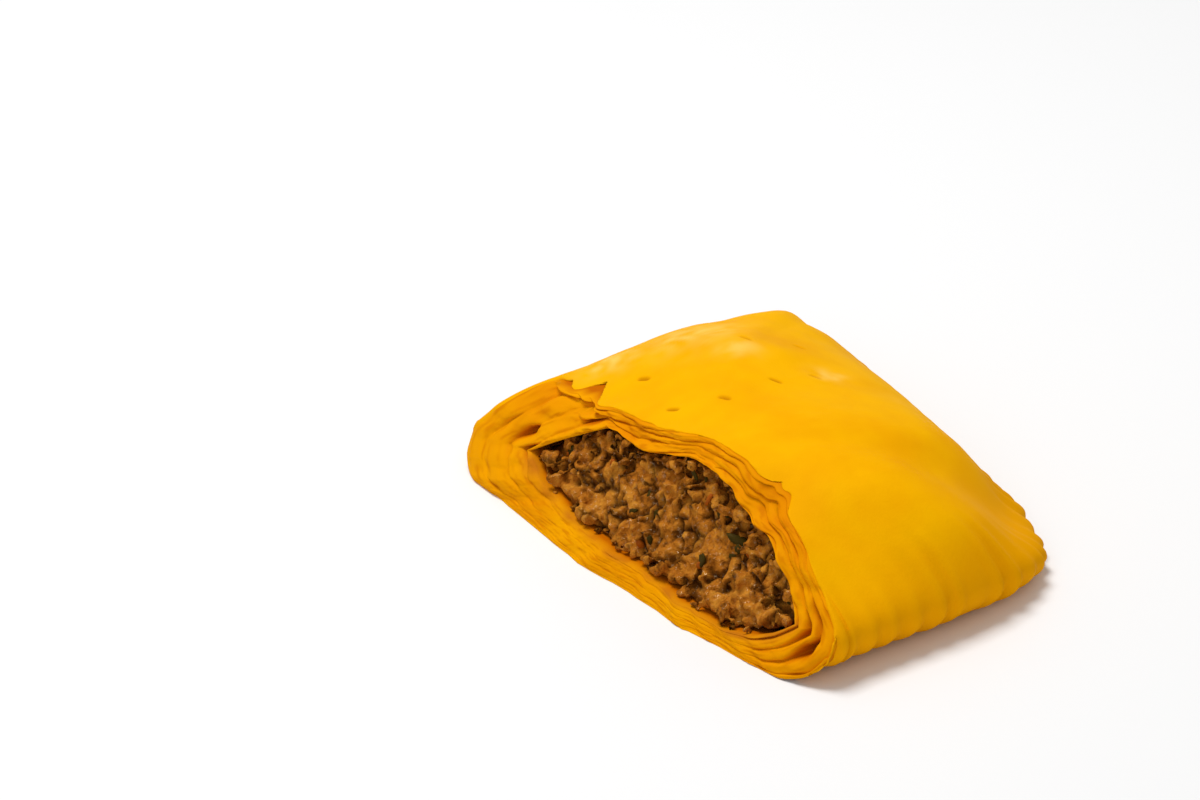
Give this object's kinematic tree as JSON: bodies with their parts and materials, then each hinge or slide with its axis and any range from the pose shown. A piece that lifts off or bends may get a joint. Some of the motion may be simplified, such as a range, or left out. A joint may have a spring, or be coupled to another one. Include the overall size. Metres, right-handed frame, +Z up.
{
  "type": "jamaican patty",
  "caption": "Half of a baked turnover of flaky yellow pastry, cut open to show its minced meat filling, with one folded side and crimped edges.",
  "frame": {"origin": "centre of the bounding box's bottom face, on the surface that the patty lies on", "axes": "+Z up through the patty's thickness, +Y across it from the crimped near side to the fold, the cut faces -X and the crimped end faces +X"},
  "size_m": [0.0748, 0.0944, 0.0241],
  "materials": {
    "pastry": "baked, dry and lightly flaky",
    "filling": "moist"
  },
  "bodies": {
    "root": {"pastry": "pastry", "filling": "filling"}
  },
  "joints": []
}
